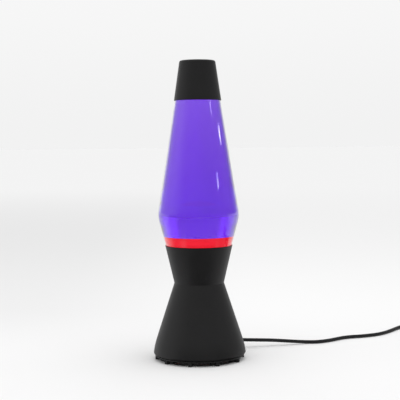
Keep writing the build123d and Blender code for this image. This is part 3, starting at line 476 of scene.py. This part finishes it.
def stepped(outline, longest=4.0):
    """The outline with its long runs divided, so that each stays true where it meets an arc."""
    line = outline[:1]
    for before, after in zip(outline, outline[1:]):
        count = max(1, round(hypot(after[0] - before[0], after[1] - before[1]) / longest))
        line += [tuple(a + (b - a) * step / count for a, b in zip(before, after))
                 for step in range(1, count + 1)]
    return line


def solid_from(name, shape, sharp):
    """A piece from a closed shape, smooth except at edges sharper than an angle in degrees."""
    bmesh.ops.recalc_face_normals(shape, faces=shape.faces)
    mesh = bpy.data.meshes.new(name)
    shape.to_mesh(mesh)
    shape.free()
    mesh.shade_smooth()
    mesh.set_sharp_from_angle(angle=radians(sharp))
    return placed(name, mesh)


def turned(name, outline, segments=160):
    """A closed body of revolution about the lamp's axis, from an outline that starts and ends on it."""
    shape = bmesh.new()
    rings = []
    for radius, height in stepped(outline):
        count = segments if radius > 1e-6 else 1
        rings.append([shape.verts.new((MM * radius * cos(2 * pi * turn / segments),
                                       MM * radius * sin(2 * pi * turn / segments), MM * height))
                      for turn in range(count)])
    for low, high in zip(rings, rings[1:]):
        for turn in range(segments):
            corners = [low[turn % len(low)], low[(turn + 1) % len(low)],
                       high[(turn + 1) % len(high)], high[turn % len(high)]]
            shape.faces.new(dict.fromkeys(corners))
    return solid_from(name, shape, 35)


def wax_face(x, y):
    """How far the settled wax stands above its level, in millimetres, away from the glass."""
    inset = max(0.0, 1 - hypot(x, y) / WAX_EDGE)
    return 0.5 * inset * noise.noise(Vector((x, y, 0.0)) / 17.0) - 0.35 * inset


def level_rings(radius, height):
    """Rings across a level face, from the wall to the axis."""
    count = 12
    return [(radius * (1 - step / count), height) for step in range(1, count + 1)]


def settle(piece, height):
    """Shape the rings of a level face as the wax settled."""
    for corner in piece.data.vertices:
        x, y, z = corner.co / MM
        if abs(z - height) < 0.01 and hypot(x, y) < WAX_EDGE:
            corner.co.z += MM * wax_face(x, y)


def make_bottle():
    """The bottle with its wall, its hollow foot and the bead round its mouth."""
    punt_radius, punt_rise, bead_foot = 23.0, 1.5, 403.0
    outside = [corner for corner in bottle_wall(0.0) if corner[1] < LIQUID_TOP - 0.01][1:]
    mouth = rounded([(NECK_RADIUS, bead_foot), (BEAD_RADIUS, bead_foot), (BEAD_RADIUS, MOUTH),
                     (MOUTH_RADIUS, MOUTH), (MOUTH_RADIUS, LIQUID_TOP)],
                    {1: 0.3, 2: 1.2, 3: 0.5}, 6)
    inside = bottle_wall(GLASS_WALL)[::-1][1:]
    punt = [(0.0, SEAT + punt_rise), (punt_radius - 3.0, SEAT + punt_rise), (punt_radius, SEAT)]
    bottle = turned("bottle", punt + outside + mouth + inside)
    dress(bottle, "bottle", "bottle_glass", "glass_bottle")


def make_contents():
    """The wax and the liquid on it. The liquid's underside follows the wax's face."""
    wall = bottle_wall(GLASS_WALL - KEYING)
    wax_wall = [corner for corner in wall if corner[1] < WAX_TOP]
    liquid_wall = [corner for corner in wall if corner[1] > WAX_TOP]
    share = (WAX_TOP - wax_wall[-1][1]) / (liquid_wall[0][1] - wax_wall[-1][1])
    edge = wax_wall[-1][0] + share * (liquid_wall[0][0] - wax_wall[-1][0])
    lump = turned("settled_wax", wax_wall + [(edge, WAX_TOP)] + level_rings(edge, WAX_TOP))
    settle(lump, WAX_TOP)
    floor = WAX_TOP - KEYING
    water = turned("violet_water", level_rings(edge, floor)[::-1] + [(edge, floor)] + liquid_wall
                   + [(0.0, LIQUID_TOP)])
    settle(water, floor)
    dress(lump, "bottle", "red_wax", "wax")
    dress(water, "bottle", "violet", "violet_liquid")


make_bottle()
make_contents()


# ---- flex, and the sleeves that guard its bends ---------------------------------------------------------
PLUG_ENTRY, PLUG_DIRECTION = Vector((417.0, 35.5, 6.9)), Vector((-0.0748, -0.9972, 0.0))
SLEEVE_LENGTH = 24 * MM


def way_along(places, start, end):
    """The stretch of a line, given by its points, between two distances from its beginning."""
    kept, gone = [], 0.0
    for before, after in zip(places, places[1:]):
        length = (after - before).length
        for mark in (start, end):
            if gone <= mark < gone + length:
                kept.append(before.lerp(after, (mark - gone) / length))
        if start < gone + length < end:
            kept.append(after.copy())
        gone += length
    return kept


def swept(name, line, radii, around=40):
    """A solid round bar along a line, with a radius in metres at each of the line's points."""
    shape = bmesh.new()
    rings = []
    for number, (place, radius) in enumerate(zip(line, radii)):
        ahead = line[min(number + 1, len(line) - 1)] - line[max(number - 1, 0)]
        side = ahead.cross(Vector((0.0, 0.0, 1.0))).normalized()
        top = side.cross(ahead).normalized()
        rings.append([shape.verts.new(place + (side * cos(2 * pi * turn / around)
                                               + top * sin(2 * pi * turn / around)) * radius)
                      for turn in range(around)])
    for low, high in zip(rings, rings[1:]):
        for turn in range(around):
            after = (turn + 1) % around
            shape.faces.new((low[turn], low[after], high[after], high[turn]))
    shape.faces.new(rings[0])
    shape.faces.new(rings[-1])
    return solid_from(name, shape, 40)


def rib_tree():
    """Round ribs threaded on a line at even steps, wider at one end than at the other."""
    tree = bpy.data.node_groups.new("ribs_on_a_sleeve", "GeometryNodeTree")
    for name, kind in (("Line", "Geometry"), ("Ribs", "Int"), ("First Radius", "Float"),
                       ("Last Radius", "Float"), ("Bead", "Float"), ("Finish", "Material")):
        tree.interface.new_socket(name, in_out="INPUT", socket_type="NodeSocket" + kind)
    tree.interface.new_socket("Ribs", in_out="OUTPUT", socket_type="NodeSocketGeometry")

    def node(kind, settings, sockets, output=0):
        made = tree.nodes.new(kind)
        for name, value in settings.items():
            setattr(made, name, value)
        for name, value in sockets.items():
            if isinstance(value, bpy.types.NodeSocket):
                tree.links.new(value, made.inputs[name])
            else:
                made.inputs[name].default_value = value
        return made.outputs[output] if made.outputs else made

    sizes = tree.nodes.new("NodeGroupInput").outputs
    line = node("GeometryNodeMeshToCurve", {}, {"Mesh": sizes["Line"]})
    seats = node("GeometryNodeResampleCurve", {}, {"Curve": line, "Count": sizes["Ribs"]})
    hoop = node("GeometryNodeCurvePrimitiveCircle", {}, {"Resolution": 40, "Radius": 1.0})
    bead = node("GeometryNodeCurvePrimitiveCircle", {}, {"Resolution": 10, "Radius": sizes["Bead"]})
    rib = node("GeometryNodeCurveToMesh", {}, {"Curve": hoop, "Profile Curve": bead})
    last = node("ShaderNodeMath", {"operation": "SUBTRACT"}, {0: sizes["Ribs"], 1: 1.0})
    radius = node("ShaderNodeMapRange", {}, {
        "Value": node("GeometryNodeInputIndex", {}, {}), "From Max": last,
        "To Min": sizes["First Radius"], "To Max": sizes["Last Radius"]})
    turn = node("FunctionNodeAlignRotationToVector", {"axis": "Z"},
                {"Vector": node("GeometryNodeInputTangent", {}, {})})
    threaded = node("GeometryNodeInstanceOnPoints", {},
                    {"Points": seats, "Instance": rib, "Rotation": turn, "Scale": radius})
    solid = node("GeometryNodeRealizeInstances", {}, {"Geometry": threaded})
    smooth = node("GeometryNodeSetShadeSmooth", {}, {0: solid})
    dressed = node("GeometryNodeSetMaterial", {}, {"Geometry": smooth, "Material": sizes["Finish"]})
    node("NodeGroupOutput", {}, {0: dressed})
    return tree


RIB_TREE = rib_tree()


def ribs_along(name, line, count, first, last, finish):
    """Ribs on a sleeve, as one plain mesh. The radii are in metres, the bead is a share of them."""
    path = bpy.data.meshes.new(name)
    path.from_pydata([tuple(place) for place in line], [(n, n + 1) for n in range(len(line) - 1)], [])
    holder = placed(name, path)
    maker = holder.modifiers.new("ribs", "NODES")
    maker.node_group = RIB_TREE
    values = {"Ribs": count, "First Radius": first, "Last Radius": last, "Bead": 0.12, "Finish": finish}
    for socket in RIB_TREE.interface.items_tree:
        if socket.in_out == "INPUT" and socket.name in values:
            maker[socket.identifier] = values[socket.name]
    evaluated = holder.evaluated_get(bpy.context.evaluated_depsgraph_get())
    mesh = bpy.data.meshes.new_from_object(evaluated)
    bpy.data.objects.remove(holder)
    return placed(name, mesh)


def make_exit_sleeve():
    """The tapered guard, 24 mm long, where the flex leaves the base, with a rib every 2.6 mm."""
    places = centreline(lead_to_switch)
    line = way_along(places, 0.0, SLEEVE_LENGTH)
    shares = [length_of(line[:number + 1]) / SLEEVE_LENGTH for number in range(len(line))]
    sleeve = swept("exit_sleeve", line, [(4.4 - 1.25 * share) * MM for share in shares])
    ribs = ribs_along("exit_sleeve_ribs", way_along(places, 2.6 * MM, 20.8 * MM), 8, 4.45 * MM, 3.45 * MM,
                      finishes["black_plastic"])
    for piece in (sleeve, ribs):
        dress(piece, "base", "black_plastic")
    return [sleeve, ribs]


def make_plug_ribs():
    """Ribs on the plug's own bend guard."""
    line = [(PLUG_ENTRY + PLUG_DIRECTION * reach) * MM for reach in (3.0, 18.0)]
    ribs = ribs_along("plug_guard_ribs", line, 6, 4.1 * MM, 5.1 * MM, finishes["black_plastic"])
    dress(ribs, "base", "black_plastic")
    return [ribs]


def dress_cords(sleeve, plug_ribs):
    """Both stretches of flex, with their finish and their body, in place of the imported cord's nodes. The
    sleeve and the plug's ribs that it is given are not used.
    """
    dress(lead_to_switch, "base", "black_cord", "cord_run")
    dress(lead_to_plug, "base", "black_cord", "cord_to_coil", "cord_coil", "cord_to_plug")


dress_cords(make_exit_sleeve(), make_plug_ribs())


# ---- floor and light ----------------------------------------------------------------------------------
def lay_floor():
    """A wide pale floor with painted shade, greyest behind the lamp on the left, and palest far away. Seen
    in gloss it is painted dark in front of the lamp and past its foot, a painted reflection that stands for
    a dim room there."""
    half_side, level = 60.0, -0.0001
    mesh = bpy.data.meshes.new("studio_floor")
    mesh.from_pydata([(x * half_side, y * half_side, level)
                      for x, y in ((-1, -1), (1, -1), (1, 1), (-1, 1))], [], [(0, 1, 2, 3)])
    floor = placed("studio_floor", mesh)
    finish = Finish("matt_white_floor")
    x, y, _ = finish.axes(finish.place())
    behind, far, right = y.smoothly(0.0, 0.5), y.smoothly(1.5, 6.0), x.smoothly(-0.35, 0.15)
    # Painted shade: the floor's colour is greyest behind the lamp on the left and lightens towards the right
    # there.
    near_painted_shade_tone = 0.87 + behind * (right * 0.08 - 0.065)
    painted_shade_tone = near_painted_shade_tone * (1 - far) + far * 0.918
    # Painted reflection: in gloss the floor is painted dark ahead of the lamp and past its foot, standing
    # for a dim room there, and stays pale behind it.
    reach = (x * x + y * y) ** 0.5 + 0.001
    ahead = ((x * 0.15 - y) / reach).smoothly(0.52, 0.72)
    beyond = reach.smoothly(0.28, 0.36) * (1 - y.smoothly(-0.1, 0.3))
    lit = (1 - ahead) * (1 - beyond) * 0.72 + 0.08
    lit = lit + y.smoothly(0.0, 0.3) * (0.92 - lit)
    # The painted dark reflection darkens the floor's colour only where a reflection is looked up.
    painted_shade_tone = painted_shade_tone * (1 - finish.in_gloss() * (1 - lit))
    finish.surface(Base_Color=finish.blend(painted_shade_tone, (0.0, 0.0, 0.0), (1.0, 1.0, 1.0)), Roughness=0.9,
                   Specular_IOR_Level=0.0)
    mesh.materials.append(finish.material)


def soft_box(name, place, aim, size, power, shows=True):
    """A rectangular soft light, aimed at a point. One that doesn't show is left out of reflections and
    of the view through glass."""
    lamp = bpy.data.lights.new(name, "AREA")
    lamp.shape, lamp.size, lamp.size_y, lamp.energy = "RECTANGLE", *size, power
    light = placed(name, lamp)
    light.location = place
    light.rotation_euler = (Vector(aim) - Vector(place)).to_track_quat("-Z", "Y").to_euler()
    light.visible_glossy = light.visible_transmission = shows


def light_room():
    """Pale surroundings, lighter upwards and at the rear sides, with a dim left flank. In gloss the room
    is dark to the front."""
    world = bpy.data.worlds.new("pale_room")
    world.use_nodes = True
    bpy.context.scene.world = world
    sky = Finish("pale_room", world.node_tree)
    across, along, up = sky.axes(sky.node("ShaderNodeTexCoord", {}, {}, "Generated"))
    backdrop = 0.888 + up.smoothly(0.0, 0.16) * 0.042 + up.smoothly(0.3, 0.9) * 0.12
    flank = (across * -1).smoothly(0.35, 0.60) * along.smoothly(-0.3, 0.3)
    rear_sides = (across * across).smoothly(0.06, 0.12) * along.smoothly(0.70, 0.80)
    front = (across * 0.6 - along * 0.8).smoothly(-0.9, 0.3) * (1 - up.smoothly(0.1, 0.55) * 0.45)
    level = backdrop * (1 - flank * 0.35 + rear_sides * 0.45) * (1 - sky.in_gloss() * front * 0.9)
    pale = sky.node("ShaderNodeBackground", {}, {"Color": (1.0, 1.0, 1.0, 1.0), "Strength": level})
    sky.node_of("ShaderNodeOutputWorld", {"Surface": pale})


lay_floor()
light_room()
soft_box("overhead", (0.0, -0.15, 1.7), (0.0, 0.0, 0.0), (1.2, 0.9), 5.0, shows=False)
soft_box("right_strip", (1.95, 0.42, 0.73), (0.03, -0.02, 0.34), (0.16, 0.06), 0.30)
soft_box("front_right_strip", (1.79, -0.75, 0.95), (0.02, -0.03, 0.36), (0.09, 0.05), 0.09)
soft_box("low_right_strip", (1.82, -0.80, 0.705), (0.03, -0.04, 0.255), (0.10, 0.05), 0.12)
